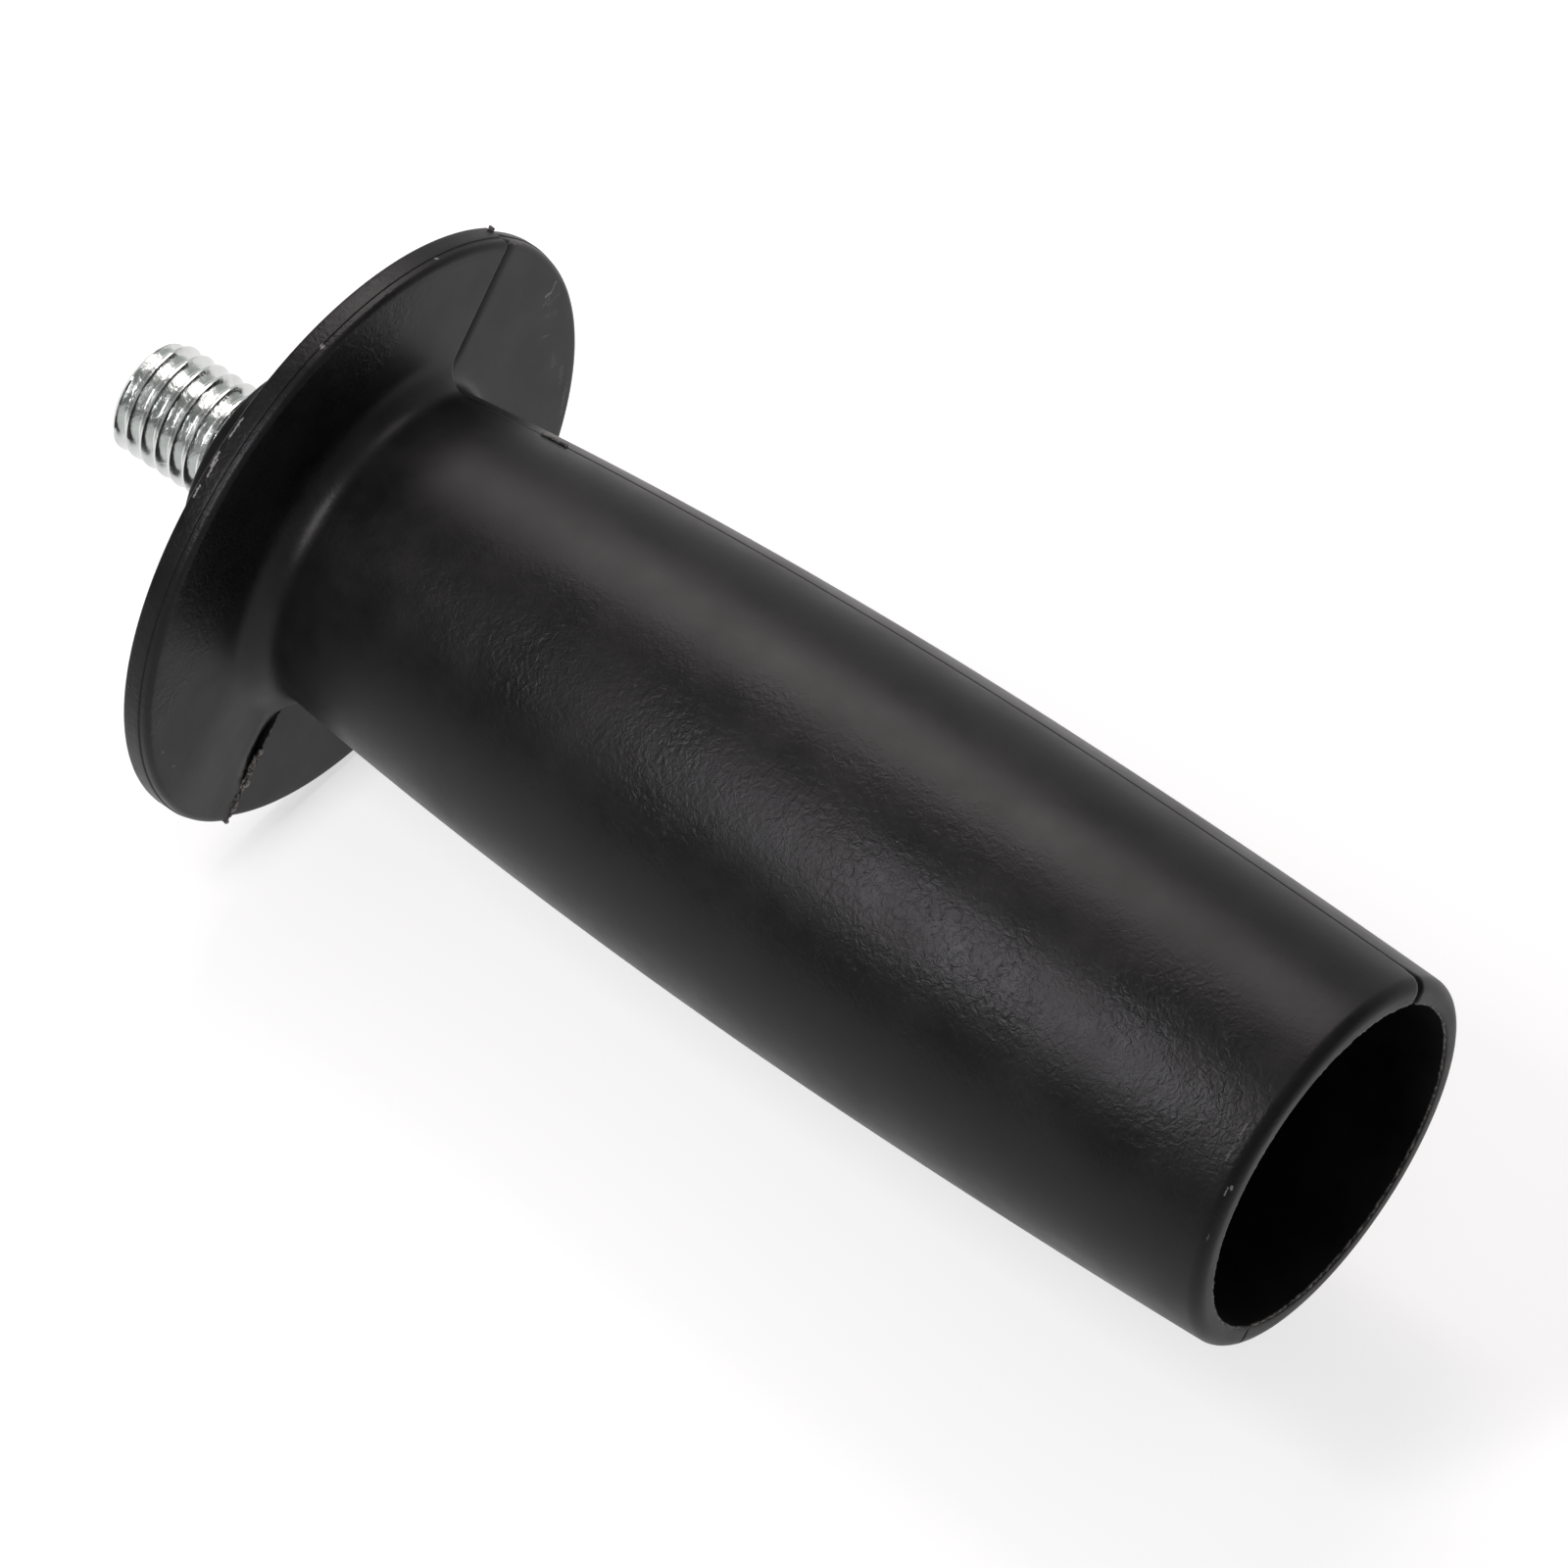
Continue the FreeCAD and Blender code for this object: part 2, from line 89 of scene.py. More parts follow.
# Grip and bore. The two mould halves' outlines meet at a common station of the neck
NECK_FILLET = 2.4
FAR_NECK_FILLET = 1.2
NECK_COMMON = 14.9
NECK_FOOT_POINTS = 14
NECK_RADIUS = 13.75
WAIST_STATION = 32.0
WAIST_RADIUS = 15.66
BELLY_STATION = 71.1
BELLY_RADIUS = 17.05
MOUTH_STATION = 107.9
MOUTH_RADIUS = 16.3
MOUTH_EDGE = 1.15
LIP_EDGE = 0.3
BORE_MOUTH_RADIUS = 14.3
BORE_FLOOR_STATION = 26.0
BORE_FLOOR_RADIUS = 12.3
BORE_FLOOR_EDGE = 1.5
SEAT_FLATS = 16.2

# Mould's parting line: the near half runs up to it, and the far half on from it. Its groove's depth falls
# off by a power of the closeness to its middle
SPLIT_ANGLE = 41.5
SEAM_OFFSETS = [0.0, 0.04, 0.09, 0.15, 0.22, 0.32, 0.5, 0.8, 1.2]
SEAM_DEPTH = 0.16
SEAM_HALF_WIDTH = 0.2
SEAM_POWER = 1.5
PLAIN_COLUMNS = 150
NOTCH_DEPTH = 0.75
NOTCH_LENGTH = 1.7
NOTCH_HALF_WIDTH = 0.36

# The near half's flange sinks back towards the lower parting line, in a long sag that ends in a short
# valley. The valley deepens between two radii and loses most of its depth between two more. The far half
# dips where it passes under the near half at the upper line. Both fade out towards the neck
SAG = 0.6
SAG_REACH = 13.0
VALLEY = 0.68
VALLEY_REACH = 2.5
VALLEY_RISE = (15.0, 19.0)
VALLEY_FALL = (19.0, 24.0)
VALLEY_LOSS = 0.9
DIP = 0.9
DIP_REACH = 2.4
DROP_FOOT = (14.2, 16.7)

# Witness step behind the flange's front edge, left by the mould's face insert
WITNESS_BACK = 0.85
WITNESS_DROP = 0.1

# Flash along the parting line and round the bore: (station, radius, angle) at both ends, thickness,
# raggedness and seed
FLASH_STRIPS = [
    ((11.2, 26.5, -138.2), (11.3, 19.8, -138.0), 0.62, 0.75, 3),
    ((11.3, 25.2, -137.0), (11.35, 20.4, -136.8), 0.5, 0.95, 23),
    ((11.25, 20.6, -138.6), (11.3, 15.4, -138.7), 0.16, 0.6, 5),
    ((9.9, 26.8, 40.9), (10.3, 26.8, 41.2), 0.5, 0.3, 7),
    ((21.6, 14.92, 41.8), (24.0, 15.1, 41.8), 0.34, 0.5, 11),
    ((26.0, 15.2, 41.6), (104.0, 16.4, 41.6), 0.05, 0.9, 13),
    ((10.0, 26.55, -138.5), (11.3, 26.6, -138.3), 0.5, 0.4, 17),
    ((9.75, 26.6, -100.0), (9.75, 26.6, -137.0), 0.24, 0.8, 31),
    ((107.69, 14.35, -136.0), (107.69, 14.35, 38.0), 0.3, 0.4, 19),
    ((107.69, 14.35, 44.0), (107.69, 14.35, 219.0), 0.28, 0.5, 29)]
FLASH_STEP = 0.12
FLASH_SIDES = 6
RAGS_A_MM = 2.2

# The flash is lighter low on the flange and, less, at the mouth, partly from whitening and partly as painted
# light.
# Each lightening grows between two limits: how far down a point lies, less half its station, and its station
LOWER_DIRECTION = (-0.5, 0.0, -1.0)
LOWER_WHITENING_AND_PAINTED_LIGHT = (3.0, 8.0)
MOUTH_WHITENING_AND_PAINTED_LIGHT = (105.0, 107.0)
MOUTH_WHITENESS_AND_PAINTED_LIGHT = 0.6

# Leathery side of the grip: the angle of its middle, how far out along that angle it starts and is full, and
# the share of its wrinkles that is left elsewhere
LEATHER_ANGLE = -34.0
LEATHER_RISE = (13.2, 16.2)
WRINKLES_ELSEWHERE = 0.05

# Sizes of what the plastic's skin shows. The mould's real grain is about 0.1 mm, which is too fine to show,
# so it is drawn as coarse as it needs to be
MOTTLE_SIZE = 6.7
PATCH_SIZE = 7.7
WRINKLE_SIZE = 0.667
WRINKLE_DEPTH = 0.16
GRAIN_SIZE = 0.25
GRAIN_DEPTH = 0.02
TEAR_SIZE = 0.238
CRINKLE_SIZE = 0.556
CRINKLE_DEPTH = 0.1

# Scratches and knocks: (station, radius, angle) at both ends, half width and whiteness
SCUFFS = [
    ((9.85, 26.7, -25.6), (9.85, 26.7, -29.5), 0.07, 0.24),
    ((9.8, 26.7, -32.3), (9.8, 26.7, -34.8), 0.09, 0.24),
    ((10.0, 26.7, -33.4), (10.0, 26.7, -36.8), 0.07, 0.24),
    ((9.85, 26.7, -38.6), (9.85, 26.7, -40.9), 0.07, 0.24),
    ((11.2, 26.6, -7.6), (11.2, 26.6, -7.8), 0.14, 0.24),
    ((11.3, 26.5, 21.4), (11.3, 26.5, 21.7), 0.14, 0.24),
    ((12.0, 11.75, 103.5), (12.0, 11.75, 104.3), 0.1, 0.24),
    ((11.25, 24.05, 69.9), (11.25, 24.5, 70.4), 0.15, 0.6),
    ((11.25, 24.5, 70.6), (11.25, 25.4, 69.4), 0.08, 0.65),
    ((11.25, 23.5, 71.4), (11.25, 24.3, 71.6), 0.1, 0.3),
    ((11.25, 23.8, 72.6), (11.25, 25.1, 73.4), 0.16, 0.13),
    ((11.25, 23.2, 75.0), (11.25, 24.2, 77.5), 0.26, 0.09),
    ((11.25, 22.3, 80.3), (11.25, 22.8, 81.4), 0.16, 0.13),
    ((11.25, 23.2, 89.0), (11.25, 23.2, 92.0), 0.25, 0.11),
    ((11.25, 24.3, 95.0), (11.25, 24.3, 99.0), 0.26, 0.1),
    ((11.25, 25.2, 101.0), (11.25, 25.2, 108.0), 0.2, 0.13),
    ((11.1, 26.3, 44.0), (11.1, 26.3, 50.0), 0.2, 0.1),
    ((20.7, 14.95, -31.4), (20.7, 14.95, -31.8), 0.1, 0.24),
    ((45.2, 16.5, -24.4), (45.2, 16.5, -24.7), 0.09, 0.24),
    ((107.55, 16.05, -49.5), (107.55, 16.05, -50.3), 0.09, 0.26),
    ((107.3, 16.2, -50.2), (107.3, 16.2, -52.6), 0.06, 0.2),
    ((107.35, 16.1, -64.5), (107.35, 16.1, -67.5), 0.06, 0.2),
    ((106.2, 16.35, -33.0), (106.2, 16.35, -44.0), 0.08, 0.08),
    ((11.6, 26.5, -150.0), (11.6, 26.5, -153.0), 0.12, 0.24),
    ((11.9, 25.2, -96.0), (11.9, 25.2, -96.4), 0.1, 0.24),
    ((11.9, 24.6, -103.0), (11.9, 24.6, -103.5), 0.12, 0.24)]

# Share of a scratch's width that is whitened in full, and how much its whiteness roughens the skin
SCUFF_CORE = 0.6
SCUFF_ROUGHNESS = 0.6

# Dented side of the thread: the angle of its middle, how far out along that angle it starts and is full, and
# the share of its dents that is left elsewhere
DENT_ANGLE = -22.0
DENT_RISE = (2.6, 4.0)
DENTS_ELSEWHERE = 0.22
DENT_SIZE = 0.909
DENT_DEPTH = 0.14
HAZE_SIZE = 2.0

# Camera, matched to the photograph
SENSOR_WIDTH = 36.0
LENS = 252.2
CLIP_START = 10.0
CAMERA_PLACE = (381.6, -397.5, 678.4)
CAMERA_RIGHT = (0.7720, 0.6357, 0.0)
CAMERA_UP = (-0.5055, 0.6139, 0.6064)

# White sweep behind and below, and the room round it
FLOOR_HEIGHT = -26.75
FLOOR_FRONT = 3000.0
FLOOR_SIDE = 3000.0
SWEEP_START = 700.0
SWEEP_RADIUS = 250.0
WALL_HEIGHT = 900.0
CARD_COLOUR = "#bcbcbc"
SEEN_GLOW = 0.6
ROOM_LIGHT = 0.32


def to_linear(hex_colour):
    """An sRGB hex value as linear red, green, blue and alpha."""
    channels = []
    for start in (1, 3, 5):
        value = int(hex_colour[start:start + 2], 16) / 255
        channels.append(value / 12.92 if value <= 0.04045 else ((value + 0.055) / 1.055) ** 2.4)
    return (*channels, 1.0)


def add(tree, kind, inputs=None, **settings):
    """Add a node with its settings, its plain inputs and its links. A node given as an input stands for its
    first output."""
    node = tree.nodes.new(kind)
    for name, value in settings.items():
        setattr(node, name, value)
    for socket, value in (inputs or {}).items():
        if isinstance(value, bpy.types.Node):
            value = value.outputs[0]
        if isinstance(value, bpy.types.NodeSocket):
            tree.links.new(value, node.inputs[socket])
        else:
            node.inputs[socket].default_value = value
    return node


def smooth_rise(value, limits):
    """From 0 to 1 between two limits, with level ends."""
    low, high = limits
    share = min(max((value - low) / (high - low), 0.0), 1.0)
    return share * share * (3 - 2 * share)


def around(station, radius, angle):
    """A point at a station, radius and angle."""
    turn = math.radians(angle)
    return (station, radius * math.sin(turn), radius * math.cos(turn))


# Meshes
def finish_piece(mesh, name, material, node=None, sharp_angle=40):
    """Scale a mesh from millimetres to metres, close its doubles and make it a piece of the object."""
    shape = bmesh.new()
    shape.from_mesh(mesh)
    bmesh.ops.transform(shape, matrix=Matrix.Scale(MM, 4), verts=shape.verts)
    bmesh.ops.remove_doubles(shape, verts=shape.verts, dist=JOIN_DISTANCE * MM)
    bmesh.ops.dissolve_degenerate(shape, edges=shape.edges, dist=SHORTEST_EDGE * MM)
    bmesh.ops.recalc_face_normals(shape, faces=shape.faces)
    shape.to_mesh(mesh)
    shape.free()
    mesh.polygons.foreach_set("use_smooth", [True] * len(mesh.polygons))
    mesh.set_sharp_from_angle(angle=math.radians(sharp_angle))
    mesh.materials.clear()
    mesh.materials.append(material)
    piece = bpy.data.objects.new(name, mesh)
    bpy.context.scene.collection.objects.link(piece)
    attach(piece, "root")
    if node:
        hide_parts(node)


def round_points(centre, start, end, count):
    """Points along the arc under half a turn from start to end, without its start."""
    first = math.atan2(start[1] - centre[1], start[0] - centre[0])
    last = math.atan2(end[1] - centre[1], end[0] - centre[0])
    turn = (last - first + math.pi) % (2 * math.pi) - math.pi
    radius = math.hypot(start[0] - centre[0], start[1] - centre[1])
    points = []
    for number in range(1, count + 1):
        angle = first + turn * number / count
        points.append((centre[0] + radius * math.cos(angle), centre[1] + radius * math.sin(angle)))
    return points


def straight_points(start, end, count):
    """Points along the line from start to end, without its start."""
    points = []
    for number in range(1, count + 1):
        share = number / count
        points.append((start[0] + (end[0] - start[0]) * share, start[1] + (end[1] - start[1]) * share))
    return points


def along_circle(centre, radius, station):
    """The upper point of a circle at a station."""
    return (station, centre[1] + math.sqrt(radius ** 2 - (station - centre[0]) ** 2))


def grip_arcs():
    """The centres and radii of the neck's, palm's and fingers' arcs, each level or tangent with the next."""
    belly_run = BELLY_STATION - WAIST_STATION
    belly_fall = BELLY_RADIUS - WAIST_RADIUS
    palm_radius = (belly_run ** 2 + belly_fall ** 2) / (2 * belly_fall)
    palm_centre = (BELLY_STATION, BELLY_RADIUS - palm_radius)
    neck_run = WAIST_STATION - FLANGE_FACE
    neck_rise = WAIST_RADIUS - NECK_RADIUS
    neck_lean = (palm_radius - belly_fall) * neck_rise - belly_run * neck_run
    neck_radius = palm_radius * (neck_run ** 2 + neck_rise ** 2) / (2 * neck_lean)
    share = neck_radius / palm_radius
    neck_centre = (WAIST_STATION + (palm_centre[0] - WAIST_STATION) * share,
                   WAIST_RADIUS + (palm_centre[1] - WAIST_RADIUS) * share)
    mouth_run = MOUTH_STATION - BELLY_STATION
    mouth_fall = BELLY_RADIUS - MOUTH_RADIUS
    finger_radius = (mouth_run ** 2 + mouth_fall ** 2) / (2 * mouth_fall)
    finger_centre = (BELLY_STATION, BELLY_RADIUS - finger_radius)
    return (neck_centre, neck_radius), (palm_centre, palm_radius), (finger_centre, finger_radius)


def half_outline(face, rim, fillet, fillet_points):
    """One mould half's outline from the stud's hole over the outside to the mouth's lip, and the number of
    its points up to the boss's end face, the flange's back, the neck's foot and the lip. The last number of
    each stretch is how many points it gets, and both halves have equal points."""
    (neck_centre, neck_radius), (palm_centre, palm_radius), (finger_centre, finger_radius) = grip_arcs()
    points = [(0.0, STUD_HOLE_RADIUS)]
    points += straight_points(points[-1], (0.0, BOSS_RADIUS - BOSS_EDGE), 3)
    boss_end = len(points)
    points += round_points((BOSS_EDGE, BOSS_RADIUS - BOSS_EDGE), points[-1], (BOSS_EDGE, BOSS_RADIUS), 4)
    root = BOSS_ROOT
    points += straight_points(points[-1], (BOSS_LENGTH - root, BOSS_RADIUS), 8)
    points += round_points((BOSS_LENGTH - root, BOSS_RADIUS + root), points[-1],
                           (BOSS_LENGTH, BOSS_RADIUS + root), 6)
    edge = FLANGE_BACK_EDGE
    points += straight_points(points[-1], (BOSS_LENGTH, rim - edge), 16)
    back_end = len(points)
    points += round_points((BOSS_LENGTH + edge, rim - edge), points[-1], (BOSS_LENGTH + edge, rim), 4)
    step = WITNESS_DROP
    witness = face - WITNESS_BACK
    points += straight_points(points[-1], (witness - step, rim), 4)
    points += round_points((witness - step, rim - step), points[-1], (witness, rim - step), 4)
    lower = rim - step
    edge = FLANGE_FRONT_EDGE
    points += round_points((face - edge, lower - edge), (face - edge, lower), (face, lower - edge), 8)
    fillet_run = neck_centre[0] - face - fillet
    fillet_rise = math.sqrt((neck_radius + fillet) ** 2 - fillet_run ** 2)
    fillet_centre = (face + fillet, neck_centre[1] + fillet_rise)
    reach = fillet / (neck_radius + fillet)
    fillet_end = (fillet_centre[0] + (neck_centre[0] - fillet_centre[0]) * reach,
                  fillet_centre[1] + (neck_centre[1] - fillet_centre[1]) * reach)
    points += straight_points(points[-1], (face, fillet_centre[1]), 14)
    points += round_points(fillet_centre, points[-1], fillet_end, fillet_points)
    common = along_circle(neck_centre, neck_radius, NECK_COMMON)
    points += round_points(neck_centre, points[-1], common, NECK_FOOT_POINTS - fillet_points)
    front_end = len(points)
    points += round_points(neck_centre, points[-1], (WAIST_STATION, WAIST_RADIUS), 22)
    points += round_points(palm_centre, points[-1], (BELLY_STATION, BELLY_RADIUS), 42)
    edge_run = MOUTH_STATION - MOUTH_EDGE - finger_centre[0]
    edge_rise = math.sqrt((finger_radius - MOUTH_EDGE) ** 2 - edge_run ** 2)
    edge_centre = (MOUTH_STATION - MOUTH_EDGE, finger_centre[1] + edge_rise)
    reach = finger_radius / (finger_radius - MOUTH_EDGE)
    edge_start = (finger_centre[0] + (edge_centre[0] - finger_centre[0]) * reach,
                  finger_centre[1] + (edge_centre[1] - finger_centre[1]) * reach)
    points += round_points(finger_centre, points[-1], edge_start, 40)
    points += round_points(edge_centre, points[-1], (MOUTH_STATION, edge_centre[1]), 12)
    edge = LIP_EDGE
    points += straight_points(points[-1], (MOUTH_STATION, BORE_MOUTH_RADIUS + edge), 2)
    lip_end = len(points)
    points += round_points((MOUTH_STATION - edge, BORE_MOUTH_RADIUS + edge), points[-1],
                           (MOUTH_STATION - edge, BORE_MOUTH_RADIUS), 4)
    return points, boss_end, back_end, front_end, lip_end


def core_outline():
    """The bore's wall and floor, the hexagonal seat, the stud's hole, and where the hexagon lies in them."""
    wall_rise = (BORE_MOUTH_RADIUS - BORE_FLOOR_RADIUS) / (MOUTH_STATION - BORE_FLOOR_STATION)
    edge = BORE_FLOOR_EDGE
    corner = (BORE_FLOOR_STATION + edge, BORE_FLOOR_RADIUS + edge * wall_rise)
    points = straight_points((MOUTH_STATION - LIP_EDGE, BORE_MOUTH_RADIUS), corner, 30)
    points += round_points((corner[0], corner[1] - edge), corner, (BORE_FLOOR_STATION, corner[1] - edge), 5)
    hexagon_start = len(points)
    half_flats = SEAT_FLATS / 2
    points += [(BORE_FLOOR_STATION, half_flats), (WEB_LENGTH, half_flats)]
    hexagon_end = len(points)
    points += [(WEB_LENGTH, STUD_HOLE_RADIUS), (WEB_LENGTH / 2, STUD_HOLE_RADIUS)]
    return points, hexagon_start, hexagon_end


def hexagon_factor(angle, middle):
    """How much further out a hexagon's side lies at this angle than at its middle."""
    away = (angle - middle + 30) % 60 - 30
    return 1 / math.cos(math.radians(away))


def outward_normals(points):
    """The outline's normals, away from the solid."""
    normals = []
    for number in range(len(points)):
        before = points[max(number - 1, 0)]
        after = points[min(number + 1, len(points) - 1)]
        run, rise = after[0] - before[0], after[1] - before[1]
        length = math.hypot(run, rise)
        normals.append((-rise / length, run / length))
    return normals


def seam_columns():
    """Every column round the handle as (half, kind, value): seam columns keep their distance from the start
    or end of their half, and plain ones share out what is left."""
    columns = []
    for half in (0, 1):
        for offset in SEAM_OFFSETS:
            columns.append((half, "start", offset))
        for number in range(1, PLAIN_COLUMNS):
            columns.append((half, "share", number / PLAIN_COLUMNS))
        for offset in reversed(SEAM_OFFSETS):
            columns.append((half, "end", offset))
    return columns


def column_angle(column, radius):
    """A column's angle at this radius, in degrees. The near half is half 0."""
    half, kind, value = column
    start = SPLIT_ANGLE - 180 + 180 * half
    widest = math.degrees(math.asin(SEAM_OFFSETS[-1] / radius))
    if kind == "start":
        return start + math.degrees(math.asin(value / radius))
    if kind == "end":
        return start + 180 - math.degrees(math.asin(value / radius))
    return start + widest + (180 - 2 * widest) * value


def flange_drop(half, angle, station, radius):
    """How far back a point of the flange's front lies from its plain outline."""
    if half == 0:
        away = math.radians(angle - (SPLIT_ANGLE - 180)) * radius
        kept = 1 - VALLEY_LOSS * smooth_rise(radius, VALLEY_FALL)
        valley = VALLEY * smooth_rise(radius, VALLEY_RISE) * kept
        sag = SAG * (1 - smooth_rise(away, (0.0, SAG_REACH)))
        drop = sag + valley * (1 - smooth_rise(away, (0.0, VALLEY_REACH)))
    else:
        away = math.radians(angle - SPLIT_ANGLE) * radius
        drop = DIP * (1 - smooth_rise(away, (0.0, DIP_REACH)))
    level = (station - BOSS_LENGTH) / (FLANGE_FACE - BOSS_LENGTH)
    return drop * min(max(level, 0.0), 1.0) * smooth_rise(radius, DROP_FOOT)


def build_grip(material):
    """The moulded grip's whole skin: both mould halves with their seam, the bore, the seat and the hole."""
    near, boss_end, back_end, front_end, lip_end = half_outline(
        FLANGE_FACE, FLANGE_RADIUS, NECK_FILLET, fillet_points=11)
    far = half_outline(
        FLANGE_FACE - FACE_STEP, FLANGE_RADIUS - RIM_STEP, FAR_NECK_FILLET, fillet_points=8)[0]
    core, hexagon_start, hexagon_end = core_outline()
    outlines = (near, far)
    normals = (outward_normals(near), outward_normals(far))
    verts = []
    columns = seam_columns()
    for column in columns:
        half, kind, value = column
        gap = value if kind != "share" else SEAM_OFFSETS[-1]
        closeness = max(0.0, 1 - gap / SEAM_HALF_WIDTH)
        sink = SEAM_DEPTH * closeness ** SEAM_POWER
        for number, (station, radius) in enumerate(outlines[half]):
            angle = column_angle(column, radius)
            along, out = normals[half][number]
            depth = sink if boss_end <= number < lip_end else 0.0
            if kind != ("start", "end")[half]:
                # The upper parting line ends in a notch at the mouth
                notch = max(0.0, 1 - gap / NOTCH_HALF_WIDTH)
                near_mouth = smooth_rise(station, (MOUTH_STATION - NOTCH_LENGTH, MOUTH_STATION))
                depth += NOTCH_DEPTH * notch * near_mouth
            if back_end <= number < front_end:
                station -= flange_drop(half, angle, station, radius)
            verts.append(around(station - along * depth, radius - out * depth, angle))
        for number, (station, radius) in enumerate(core):
            angle = column_angle(column, radius)
            if hexagon_start <= number < hexagon_end:
                radius *= hexagon_factor(angle, SPLIT_ANGLE)
            verts.append(around(station, radius, angle))
    ring = len(near) + len(core)
    faces = []
    for column in range(len(columns)):
        after = (column + 1) % len(columns)
        for point in range(ring):
            following = (point + 1) % ring
            faces.append((column * ring + point, after * ring + point,
                          after * ring + following, column * ring + following))
    mesh = bpy.data.meshes.new("MouldedGrip")
    mesh.from_pydata(verts, [], faces)
    finish_piece(mesh, "MouldedGrip", material, node="moulded_grip", sharp_angle=42)


def new_tree(name, inputs):
    """A new geometry tree with inputs listed by their kind, and the outputs of the node that gives them."""
    tree = bpy.data.node_groups.new(name, "GeometryNodeTree")
    ends = tree.interface
    ends.new_socket("Geometry", in_out="INPUT", socket_type="NodeSocketGeometry")
    for kind, titles in inputs.items():
        for title in titles:
            ends.new_socket(title, in_out="INPUT", socket_type="NodeSocket" + kind)
    ends.new_socket("Geometry", in_out="OUTPUT", socket_type="NodeSocketGeometry")
    return tree, tree.nodes.new("NodeGroupInput").outputs


def end_tree(tree, shape, material):
    """Make a tree's shape real, give it its material and send it out."""
    real = add(tree, "GeometryNodeRealizeInstances", {0: shape})
    dressed = add(tree, "GeometryNodeSetMaterial", {"Geometry": real, "Material": material})
    add(tree, "NodeGroupOutput", {0: dressed})


def turned_round(tree, station, radius, angle):
    """The place at a station and radius, turned about the X axis, in a geometry tree."""
    upright = add(tree, "ShaderNodeCombineXYZ", {"X": station, "Z": radius})
    return add(tree, "ShaderNodeVectorRotate", {"Vector": upright, "Angle": angle}, rotation_type="X_AXIS")


def thread_tree(material):
    """Geometry nodes for a rolled thread: a grid whose rows lean with the helix, wrapped round the stud."""
    tree, given = new_tree("RolledThread", {
        "Float": ("Crest Radius", "Root Radius", "Tip Radius", "Pitch", "Length"),
        "Int": ("Rows", "Columns")})
    grid = add(tree, "GeometryNodeMeshGrid", {"Size X": 1.0, "Size Y": 1.0, "Vertices X": given["Columns"],
                                              "Vertices Y": given["Rows"]})
    place = add(tree, "ShaderNodeSeparateXYZ", {0: add(tree, "GeometryNodeInputPosition")}).outputs
    turn = add(tree, "ShaderNodeMath", {0: place["X"], 1: 0.5}, operation="ADD")
    share = add(tree, "ShaderNodeMath", {0: place["Y"], 1: 0.5}, operation="ADD")
    last_row = add(tree, "ShaderNodeMath", {0: given["Rows"], 1: 1.0}, operation="SUBTRACT")
    row = add(tree, "ShaderNodeMath", {0: share, 1: last_row}, operation="MULTIPLY")

    # Distance from the tip in pitches. The rows lean by one pitch in a turn
    first_row = add(tree, "ShaderNodeMath", {0: row, 1: 1.0}, operation="SUBTRACT")
    upright = add(tree, "ShaderNodeMath", {0: first_row, 1: 1 / ROWS_A_PITCH, 2: -1.0},
                  operation="MULTIPLY_ADD")
    leaning = add(tree, "ShaderNodeMath", {0: upright, 1: turn}, operation="ADD")
    whole = add(tree, "ShaderNodeMath", {0: given["Length"], 1: given["Pitch"]}, operation="DIVIDE")
    along = add(tree, "ShaderNodeClamp", {"Value": leaning, "Min": 0.0, "Max": whole})

    # Distance from the root's middle in pitches, and the flanks between root and crest
    lead = add(tree, "ShaderNodeMath", {0: along, 1: turn}, operation="SUBTRACT")
    phase = add(tree, "ShaderNodeMath", {0: lead}, operation="FRACT")
    offset = add(tree, "ShaderNodeMath", {0: phase, 1: 0.5}, operation="SUBTRACT")
    away = add(tree, "ShaderNodeMath", {0: offset}, operation="ABSOLUTE")
    heights = {"Value": away, "To Min": given["Root Radius"], "To Max": given["Crest Radius"]}
    curved = add(tree, "ShaderNodeMapRange", {
        **heights, "From Min": CURVED_FLANK[0], "From Max": CURVED_FLANK[1]},
        interpolation_type="SMOOTHSTEP")
    straight = add(tree, "ShaderNodeMapRange", {
        **heights, "From Min": STRAIGHT_FLANK[0], "From Max": STRAIGHT_FLANK[1]})
    rolled = add(tree, "ShaderNodeMix", {"Factor": STRAIGHT_SHARE, "A": curved, "B": straight})

    # The tip's chamfer. Only the first and last rows lie further from the grid's middle than BETWEEN_ENDS,
    # and they shrink to a point that closes each end
    from_tip = add(tree, "ShaderNodeMath", {0: along, 1: given["Pitch"]}, operation="MULTIPLY")
    chamfer = add(tree, "ShaderNodeMath", {0: from_tip, 1: given["Tip Radius"]}, operation="ADD")
    cut = add(tree, "ShaderNodeMath", {0: rolled, 1: chamfer}, operation="MINIMUM")
    between_ends = add(tree, "ShaderNodeMath", {0: share, 1: 0.5, 2: BETWEEN_ENDS}, operation="COMPARE")
    radius = add(tree, "ShaderNodeMath", {0: cut, 1: between_ends}, operation="MULTIPLY")
    angle = add(tree, "ShaderNodeMath", {0: turn, 1: 2 * math.pi}, operation="MULTIPLY")
    station = add(tree, "ShaderNodeMath", {0: from_tip, 1: given["Length"]}, operation="SUBTRACT")
    wrapped = turned_round(tree, station, radius, angle)
    moved = add(tree, "GeometryNodeSetPosition", {"Geometry": grid, "Position": wrapped})
    merged = add(tree, "GeometryNodeMergeByDistance", {"Geometry": moved, "Distance": SHORTEST_EDGE})
    end_tree(tree, merged, material)
    return tree


